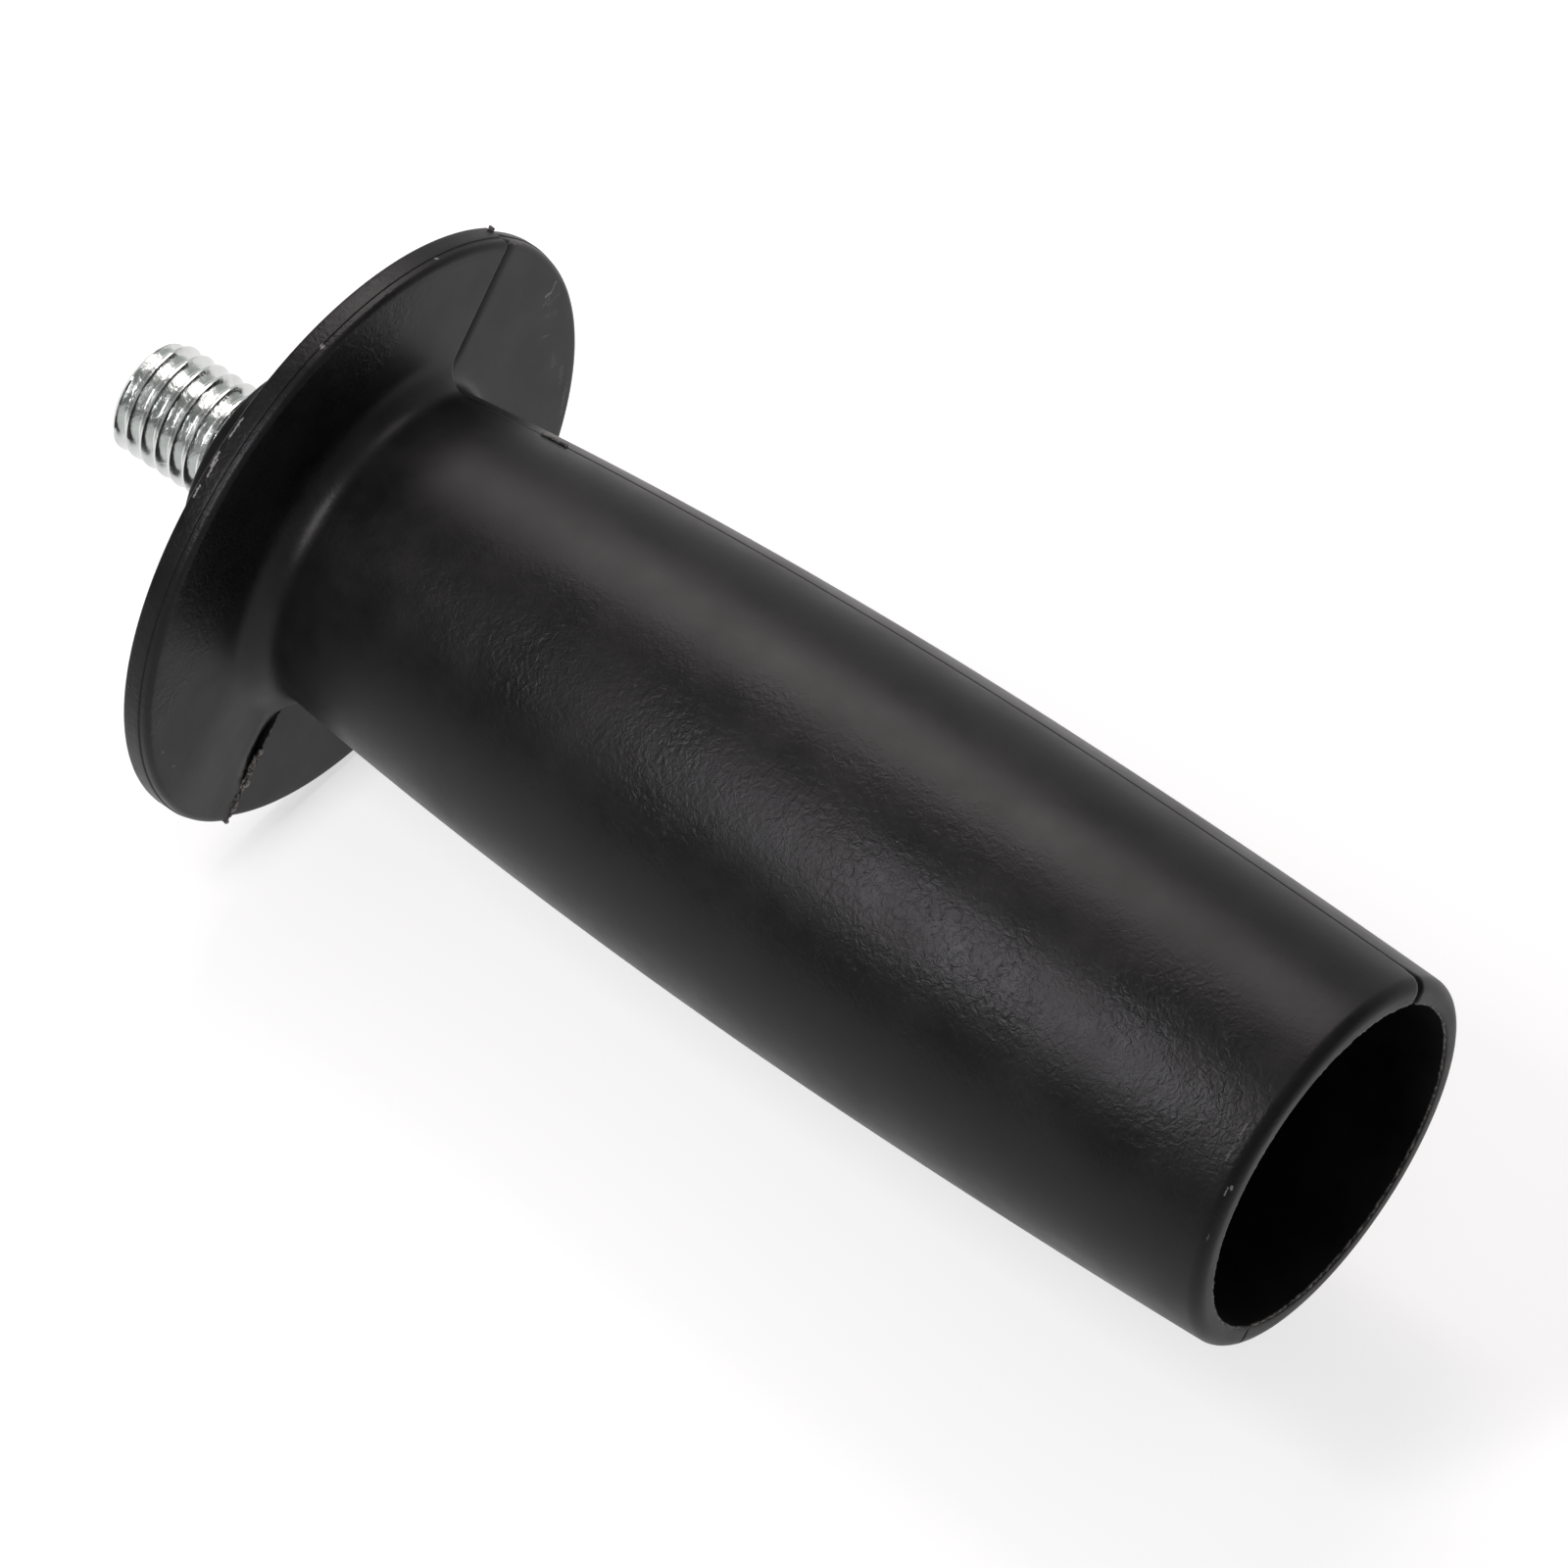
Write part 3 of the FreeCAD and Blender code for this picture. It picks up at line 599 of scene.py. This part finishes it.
def grown_mesh(tree, name, values):
    """What a geometry tree makes, with its inputs set by their identifiers, as a plain mesh."""
    carrier = bpy.data.objects.new(name + "Carrier", bpy.data.meshes.new(name + "Carrier"))
    bpy.context.scene.collection.objects.link(carrier)
    modifier = carrier.modifiers.new(name, "NODES")
    modifier.node_group = tree
    for item in tree.interface.items_tree:
        if item.in_out == "INPUT" and item.name in values:
            modifier[item.identifier] = values[item.name]
    bpy.context.view_layer.update()
    graph = bpy.context.evaluated_depsgraph_get()
    mesh = bpy.data.meshes.new_from_object(carrier.evaluated_get(graph))
    carrier.modifiers.remove(modifier)
    bpy.data.objects.remove(carrier)
    mesh.name = name
    return mesh


def lathe(outline, columns, middle, hexagon):
    """Vertices and faces of an outline turned about the X axis. The points numbered in hexagon follow six
    flats."""
    verts = []
    for column in range(columns):
        angle = 360 * column / columns + middle
        for number, (station, radius) in enumerate(outline):
            if number in hexagon:
                radius *= hexagon_factor(angle, middle)
            verts.append(around(station, radius, angle))
    faces = []
    for column in range(columns):
        after = (column + 1) % columns
        for point in range(len(outline) - 1):
            faces.append((column * len(outline) + point, after * len(outline) + point,
                          after * len(outline) + point + 1, column * len(outline) + point + 1))
    return verts, faces


def build_stud(material):
    """The stud: a rolled thread outside the boss, and its shoulder and hexagon head inside."""
    rows = math.ceil(STUD_REACH / THREAD_PITCH * ROWS_A_PITCH) + ROWS_A_PITCH + SPARE_ROWS
    mesh = grown_mesh(thread_tree(material), "ThreadedStud", {
        "Crest Radius": CREST_RADIUS, "Root Radius": ROOT_RADIUS, "Tip Radius": TIP_RADIUS,
        "Pitch": THREAD_PITCH, "Length": STUD_REACH, "Rows": rows, "Columns": THREAD_COLUMNS + 1})
    half_flats = HEAD_FLATS / 2
    end = WEB_LENGTH + HEAD_HEIGHT
    corner = half_flats / math.cos(math.radians(30))
    chamfer = (corner - HEAD_FACE_RADIUS) * math.tan(math.radians(HEAD_CHAMFER_ANGLE))
    outline = [(0.0, 0.0), (0.0, SHOULDER_RADIUS), (WEB_LENGTH - HEAD_CONE, SHOULDER_RADIUS),
               (WEB_LENGTH, half_flats), (end - chamfer, half_flats),
               (end, HEAD_FACE_RADIUS), (end, HEAD_FACE_RADIUS - HEAD_FACE_RING), (end, 0.0)]
    verts, faces = lathe(outline, HEAD_COLUMNS, SPLIT_ANGLE, hexagon=(3, 4))
    shape = bmesh.new()
    shape.from_mesh(mesh)
    made = [shape.verts.new(vert) for vert in verts]
    for corners in faces:
        shape.faces.new([made[number] for number in corners])
    shape.to_mesh(mesh)
    shape.free()
    finish_piece(mesh, "ThreadedStud", material, node="threaded_stud", sharp_angle=34)


def flash_tree(material):
    """Geometry nodes for a ragged fin of flash: a closed tube whose thickness and place wander. Its path is
    straight in station, radius and angle, so it may lie along the handle, across it or round it."""
    tree, given = new_tree("MouldFlash", {
        "Vector": ("Start", "End"), "Float": ("Thickness", "Raggedness", "Seed"), "Int": ("Steps",)})
    line = add(tree, "GeometryNodeCurvePrimitiveLine", {"Start": given["Start"], "End": given["End"]})
    fine = add(tree, "GeometryNodeResampleCurve", {"Curve": line, "Count": given["Steps"]})
    polar = add(tree, "ShaderNodeSeparateXYZ", {0: add(tree, "GeometryNodeInputPosition")}).outputs

    # An angle from +Z towards +Y is a turn about X the other way
    angle = add(tree, "ShaderNodeMath", {0: polar["Z"], 1: -math.pi / 180}, operation="MULTIPLY")
    wrapped = turned_round(tree, polar["X"], polar["Y"], angle)
    laid = add(tree, "GeometryNodeSetPosition", {"Geometry": fine, "Position": wrapped})
    wander = add(tree, "ShaderNodeTexNoise", {
        "Vector": add(tree, "GeometryNodeInputPosition"), "W": given["Seed"], "Scale": RAGS_A_MM,
        "Detail": 3.0, "Roughness": 0.7}, noise_dimensions="4D")
    thinnest = add(tree, "ShaderNodeMath", {0: 1.0, 1: given["Raggedness"]}, operation="SUBTRACT")
    rough = add(tree, "ShaderNodeMapRange", {"Value": wander, "From Min": 0.35, "From Max": 0.65,
                                             "To Min": thinnest, "To Max": 1.0})
    aside = add(tree, "ShaderNodeVectorMath", {0: wander.outputs["Color"], 1: (0.5, 0.5, 0.5)},
                operation="SUBTRACT")
    shift = add(tree, "ShaderNodeVectorMath", {0: aside, "Scale": given["Thickness"]}, operation="SCALE")
    moved = add(tree, "GeometryNodeSetPosition", {"Geometry": laid, "Offset": shift})
    ring = add(tree, "GeometryNodeCurvePrimitiveCircle", {"Resolution": FLASH_SIDES, "Radius": 0.5})
    thick = add(tree, "ShaderNodeMath", {0: rough, 1: given["Thickness"]}, operation="MULTIPLY")
    fin = add(tree, "GeometryNodeCurveToMesh", {"Curve": moved, "Profile Curve": ring, "Scale": thick,
                                                "Fill Caps": True})
    end_tree(tree, fin, material)
    return tree


def build_flash(material):
    """Every strip of flash in one piece."""
    tree = flash_tree(material)
    shape = bmesh.new()
    for start, end, thickness, raggedness, seed in FLASH_STRIPS:
        sweep = math.radians(end[2] - start[2]) * start[1]
        length = math.hypot(end[0] - start[0], end[1] - start[1], sweep)
        mesh = grown_mesh(tree, "FlashStrip", {
            "Start": Vector(start), "End": Vector(end), "Thickness": thickness, "Raggedness": raggedness,
            "Seed": float(seed), "Steps": math.ceil(length / FLASH_STEP) + 2})
        shape.from_mesh(mesh)
        bpy.data.meshes.remove(mesh)
    mesh = bpy.data.meshes.new("MouldFlash")
    shape.to_mesh(mesh)
    shape.free()
    finish_piece(mesh, "MouldFlash", material)


# Materials
def new_material(name):
    """A material, its tree and shader, and the place on the handle in metres."""
    material = bpy.data.materials.new(name)
    material.use_nodes = True
    tree = material.node_tree
    place = add(tree, "ShaderNodeTexCoord").outputs["Object"]
    return material, tree, tree.nodes["Principled BSDF"], place


def side_mask(tree, place, angle, limits, elsewhere):
    """A mask of one side of the handle: it grows to 1 between two distances out along an angle."""
    facing = add(tree, "ShaderNodeVectorMath", {0: place, 1: around(0.0, 1.0, angle)},
                 operation="DOT_PRODUCT")
    return add(tree, "ShaderNodeMapRange", {
        "Value": facing.outputs["Value"], "From Min": limits[0] * MM, "From Max": limits[1] * MM,
        "To Min": elsewhere}, interpolation_type="SMOOTHSTEP")


def scuff_mask(tree, place):
    """All the scratches and knocks in SCUFFS as one mask, ragged at their rims."""
    torn = add(tree, "ShaderNodeTexNoise", {"Vector": place, "Scale": 1 / (TEAR_SIZE * MM),
                                            "Detail": 3.0, "Roughness": 0.7})
    ragged = add(tree, "ShaderNodeMapRange", {"Value": torn, "From Min": 0.35, "From Max": 0.65,
                                              "To Min": 0.1, "To Max": 2.2})
    closeness = add(tree, "ShaderNodeMath", {0: 1.0, 1: ragged}, operation="DIVIDE")
    total = 0.0
    for first, last, half_width, whiteness in SCUFFS:
        start = Vector(around(*first)) * MM
        run = Vector(around(*last)) * MM - start
        offset = add(tree, "ShaderNodeVectorMath", {0: place, 1: start}, operation="SUBTRACT")
        share = add(tree, "ShaderNodeVectorMath", {0: offset, 1: run / run.length_squared},
                    operation="DOT_PRODUCT")
        held = add(tree, "ShaderNodeClamp", {"Value": share.outputs["Value"]})
        nearest = add(tree, "ShaderNodeVectorMath", {0: run, "Scale": held}, operation="SCALE")
        gap = add(tree, "ShaderNodeVectorMath", {0: offset, 1: nearest}, operation="DISTANCE")
        worn = add(tree, "ShaderNodeMath", {0: gap.outputs["Value"], 1: closeness}, operation="MULTIPLY")
        mark = add(tree, "ShaderNodeMapRange", {
            "Value": worn, "From Min": half_width * MM, "From Max": SCUFF_CORE * half_width * MM,
            "To Max": whiteness})
        total = add(tree, "ShaderNodeMath", {0: total, 1: mark}, operation="MAXIMUM")
    return total


def moulded_plastic():
    """Nylon 12, injection moulded in a worn and lightly etched steel mould. The eye sees a satin black skin
    with soft broad reflections and, where it is lit across, leathery wrinkles under 1 mm long."""
    material, tree, shader, place = new_material("MouldedBlackNylon")
    mottle = add(tree, "ShaderNodeTexNoise", {"Vector": place, "Scale": 1 / (MOTTLE_SIZE * MM),
                                              "Detail": 4.0, "Roughness": 0.65})
    bloom = add(tree, "ShaderNodeMapRange", {"Value": mottle, "From Min": 0.35, "From Max": 0.75})
    tint = add(tree, "ShaderNodeMix", {"Factor": bloom, "A": to_linear("#0c0c0d"),
                                       "B": to_linear("#191818")}, data_type="RGBA")
    scuffs = scuff_mask(tree, place)
    worn = add(tree, "ShaderNodeMix", {"Factor": scuffs, "A": tint.outputs["Result"],
                                       "B": to_linear("#dcdcd8")}, data_type="RGBA")
    tree.links.new(worn.outputs["Result"], shader.inputs["Base Color"])
    skin = add(tree, "ShaderNodeMapRange", {"Value": mottle, "From Min": 0.3, "From Max": 0.7,
                                            "To Min": 0.35, "To Max": 0.46})
    rough = add(tree, "ShaderNodeMath", {0: scuffs, 1: SCUFF_ROUGHNESS, 2: skin}, operation="MULTIPLY_ADD")
    tree.links.new(rough.outputs[0], shader.inputs["Roughness"])

    # The mould is etched most along one side, where the skin has leathery wrinkles
    leathery = side_mask(tree, place, LEATHER_ANGLE, LEATHER_RISE, elsewhere=0.0)
    patches = add(tree, "ShaderNodeTexNoise", {"Vector": place, "Scale": 1 / (PATCH_SIZE * MM),
                                               "Detail": 2.0})
    patchy = add(tree, "ShaderNodeMapRange", {"Value": patches, "From Min": 0.35, "From Max": 0.65,
                                              "To Min": 0.3})
    etched = add(tree, "ShaderNodeMath", {0: leathery, 1: patchy}, operation="MULTIPLY")
    depth = add(tree, "ShaderNodeMath", {0: etched, 1: 1 - WRINKLES_ELSEWHERE, 2: WRINKLES_ELSEWHERE},
                operation="MULTIPLY_ADD")
    wrinkles = add(tree, "ShaderNodeTexNoise", {"Vector": place, "Scale": 1 / (WRINKLE_SIZE * MM),
                                                "Detail": 2.0, "Roughness": 0.6, "Distortion": 0.9})
    folds = add(tree, "ShaderNodeMath", {0: wrinkles, 1: depth}, operation="MULTIPLY")
    leather = add(tree, "ShaderNodeBump", {"Strength": 0.55, "Distance": WRINKLE_DEPTH * MM, "Height": folds})
    grain = add(tree, "ShaderNodeTexNoise", {"Vector": place, "Scale": 1 / (GRAIN_SIZE * MM),
                                             "Detail": 0.0})
    fine = add(tree, "ShaderNodeBump", {"Strength": 0.15, "Distance": GRAIN_DEPTH * MM,
                                        "Normal": leather, "Height": grain})
    tree.links.new(fine.outputs[0], shader.inputs["Normal"])
    shader.inputs["Specular IOR Level"].default_value = 0.17
    return material


def thin_flash():
    """Feathered nylon squeezed out between the mould halves. The eye sees it a little lighter and drier than
    the thick plastic, because it is thin, stretched and whitened. Low on the flange and at the mouth its
    colour is lighter still, as whitening together with painted light."""
    material, tree, shader, place = new_material("NylonFlashWhitenedWithPaintedLight")
    stretch = add(tree, "ShaderNodeTexNoise", {"Vector": place, "Scale": 1 / (CRINKLE_SIZE * MM),
                                               "Detail": 4.0})
    whitened = add(tree, "ShaderNodeMapRange", {"Value": stretch, "From Min": 0.4, "From Max": 0.65})
    stressed = add(tree, "ShaderNodeMix", {"Factor": whitened, "A": to_linear("#1d1c1b"),
                                           "B": to_linear("#57534f")}, data_type="RGBA")

    # The flash of the flange's lower parting line is torn and stretched most, and then the mouth's. There its
    # colour is lightened further, as whitening together with painted light
    depth = add(tree, "ShaderNodeVectorMath", {0: place, 1: LOWER_DIRECTION}, operation="DOT_PRODUCT")
    lower = add(tree, "ShaderNodeMapRange", {
        "Value": depth.outputs["Value"], "From Min": LOWER_WHITENING_AND_PAINTED_LIGHT[0] * MM,
        "From Max": LOWER_WHITENING_AND_PAINTED_LIGHT[1] * MM})
    station = add(tree, "ShaderNodeSeparateXYZ", {0: place}).outputs["X"]
    mouth = add(tree, "ShaderNodeMapRange", {
        "Value": station, "From Min": MOUTH_WHITENING_AND_PAINTED_LIGHT[0] * MM, "From Max": MOUTH_WHITENING_AND_PAINTED_LIGHT[1] * MM,
        "To Max": MOUTH_WHITENESS_AND_PAINTED_LIGHT})
    share = add(tree, "ShaderNodeMath", {0: lower, 1: mouth}, operation="MAXIMUM")
    # Lighter colour mixed in by position: whitened flash and painted light together
    torn = add(tree, "ShaderNodeMix", {"Factor": whitened, "A": to_linear("#3c3937"),
                                       "B": to_linear("#aaa49d")}, data_type="RGBA")
    tint = add(tree, "ShaderNodeMix", {"Factor": share, "A": stressed.outputs["Result"],
                                       "B": torn.outputs["Result"]}, data_type="RGBA")
    tree.links.new(tint.outputs["Result"], shader.inputs["Base Color"])
    crinkle = add(tree, "ShaderNodeBump", {"Strength": 0.6, "Distance": CRINKLE_DEPTH * MM,
                                           "Height": stretch})
    tree.links.new(crinkle.outputs[0], shader.inputs["Normal"])
    shader.inputs["Roughness"].default_value = 0.5
    shader.inputs["Specular IOR Level"].default_value = 0.3
    return material


def zinc_plate():
    """Rolled steel with a bright zinc plate. The eye sees a hard silvery metal, faintly hazed and dented."""
    material, tree, shader, place = new_material("ZincPlatedRolledSteel")
    haze = add(tree, "ShaderNodeTexNoise", {"Vector": place, "Scale": 1 / (HAZE_SIZE * MM), "Detail": 4.0})
    tint = add(tree, "ShaderNodeMix", {"Factor": haze, "A": to_linear("#b9bdbb"),
                                       "B": to_linear("#dfe2e0")}, data_type="RGBA")
    tree.links.new(tint.outputs["Result"], shader.inputs["Base Color"])
    rough = add(tree, "ShaderNodeMapRange", {"Value": haze, "From Min": 0.3, "From Max": 0.7,
                                             "To Min": 0.12, "To Max": 0.24})
    tree.links.new(rough.outputs[0], shader.inputs["Roughness"])

    # Handling has dented the crests most along one side
    dented = side_mask(tree, place, DENT_ANGLE, DENT_RISE, DENTS_ELSEWHERE)
    dents = add(tree, "ShaderNodeTexNoise", {"Vector": place, "Scale": 1 / (DENT_SIZE * MM),
                                             "Detail": 4.0, "Roughness": 0.6, "Distortion": 0.6})
    depth = add(tree, "ShaderNodeMath", {0: dents, 1: dented}, operation="MULTIPLY")
    bump = add(tree, "ShaderNodeBump", {"Strength": 0.7, "Distance": DENT_DEPTH * MM, "Height": depth})
    tree.links.new(bump.outputs[0], shader.inputs["Normal"])
    shader.inputs["Metallic"].default_value = 1.0
    return material


# Stage
def white_card():
    """Matt white card. The camera and reflections see it as white, and it keeps a faint shadow."""
    material = bpy.data.materials.new("WhiteCard")
    material.use_nodes = True
    tree = material.node_tree
    tree.nodes.clear()
    path = add(tree, "ShaderNodeLightPath").outputs
    mirrored = add(tree, "ShaderNodeMath", {0: path["Is Glossy Ray"], 1: path["Is Transmission Ray"]},
                   operation="MAXIMUM")
    seen = add(tree, "ShaderNodeMath", {0: path["Is Camera Ray"], 1: mirrored}, operation="MAXIMUM")
    strength = add(tree, "ShaderNodeMath", {0: seen, 1: SEEN_GLOW}, operation="MULTIPLY")
    card = add(tree, "ShaderNodeBsdfDiffuse", {"Color": to_linear(CARD_COLOUR)})
    glow = add(tree, "ShaderNodeEmission", {"Color": to_linear("#ffffff"), "Strength": strength})
    both = add(tree, "ShaderNodeAddShader", {0: card, 1: glow})
    add(tree, "ShaderNodeOutputMaterial", {"Surface": both})
    return material


def build_sweep():
    """One sheet of white card: the floor, and a wall behind the handle that it curves up into."""
    wall = SWEEP_START + SWEEP_RADIUS
    profile = [(-FLOOR_FRONT, 0.0)] + straight_points((-FLOOR_FRONT, 0.0), (SWEEP_START, 0.0), 8)
    profile += round_points((SWEEP_START, SWEEP_RADIUS), profile[-1], (wall, SWEEP_RADIUS), 24)
    profile.append((wall, WALL_HEIGHT))
    across = Vector(CAMERA_RIGHT).normalized()
    behind = Vector((-across.y, across.x, 0.0))
    verts = []
    for away, height in profile:
        for side in (-FLOOR_SIDE, FLOOR_SIDE):
            place = behind * away + across * side + Vector((0.0, 0.0, FLOOR_HEIGHT + height))
            verts.append(place * MM)
    faces = [(2 * row, 2 * row + 1, 2 * row + 3, 2 * row + 2) for row in range(len(profile) - 1)]
    mesh = bpy.data.meshes.new("WhiteSweep")
    mesh.from_pydata(verts, [], faces)
    mesh.polygons.foreach_set("use_smooth", [True] * len(mesh.polygons))
    mesh.materials.append(white_card())
    sweep = bpy.data.objects.new("WhiteSweep", mesh)
    bpy.context.scene.collection.objects.link(sweep)


def build_world():
    """A plain dim room."""
    world = bpy.data.worlds.new("DimRoom")
    world.use_nodes = True
    room = world.node_tree.nodes["Background"]
    room.inputs["Color"].default_value = to_linear("#ffffff")
    room.inputs["Strength"].default_value = ROOM_LIGHT
    bpy.context.scene.world = world


def turned_to(place, right, up):
    """The matrix of a camera or lamp at a place, with its own right and up directions."""
    back = right.cross(up)
    turned = Matrix([(right[axis], up[axis], back[axis]) for axis in range(3)])
    return Matrix.Translation(place) @ turned.to_4x4()


def add_lamp(name, mirror_point, direction, distance, width, height, radiance, hex_colour):
    """A soft box that a point of the handle mirrors, facing that point, with its width along the handle."""
    data = bpy.data.lights.new(name, "AREA")
    data.shape = "RECTANGLE"
    data.size = width * MM
    data.size_y = height * MM
    data.color = to_linear(hex_colour)[:3]
    data.energy = radiance * math.pi * data.size * data.size_y
    lamp = bpy.data.objects.new(name, data)
    back = Vector(direction).normalized()
    right = Vector((1.0, 0.0, 0.0)) - back * back.x
    right.normalize()
    place = (Vector(mirror_point) + back * distance) * MM
    lamp.matrix_world = turned_to(place, right, back.cross(right))
    lamp.visible_camera = False
    bpy.context.scene.collection.objects.link(lamp)


def build_lamps():
    """A large soft box mirrored along the upper far side, and a narrow one along the near side."""
    add_lamp("LongSoftBox", mirror_point=(66.0, 0.0, 17.0), direction=(-0.40, 0.52, 0.75), distance=350.0,
             width=220.0, height=200.0, radiance=6.4, hex_colour="#fff6f6")
    add_lamp("SideSoftBox", mirror_point=(84.0, -9.8, 13.9), direction=(-0.35, -0.60, 0.72),
             distance=200.0, width=30.0, height=120.0, radiance=27.5, hex_colour="#fffaff")


def build_camera():
    """The photograph's camera."""
    data = bpy.data.cameras.new("PhotoCamera")
    data.sensor_width = SENSOR_WIDTH
    data.lens = LENS
    data.clip_start = CLIP_START * MM
    camera = bpy.data.objects.new("PhotoCamera", data)
    right = Vector(CAMERA_RIGHT).normalized()
    up = Vector(CAMERA_UP).normalized()
    camera.matrix_world = turned_to(Vector(CAMERA_PLACE) * MM, right, up)
    bpy.context.scene.collection.objects.link(camera)
    bpy.context.scene.camera = camera


build_camera()
build_world()
build_lamps()
build_sweep()
build_grip(moulded_plastic())
build_flash(thin_flash())
build_stud(zinc_plate())
bpy.context.scene.view_settings.view_transform = "Standard"
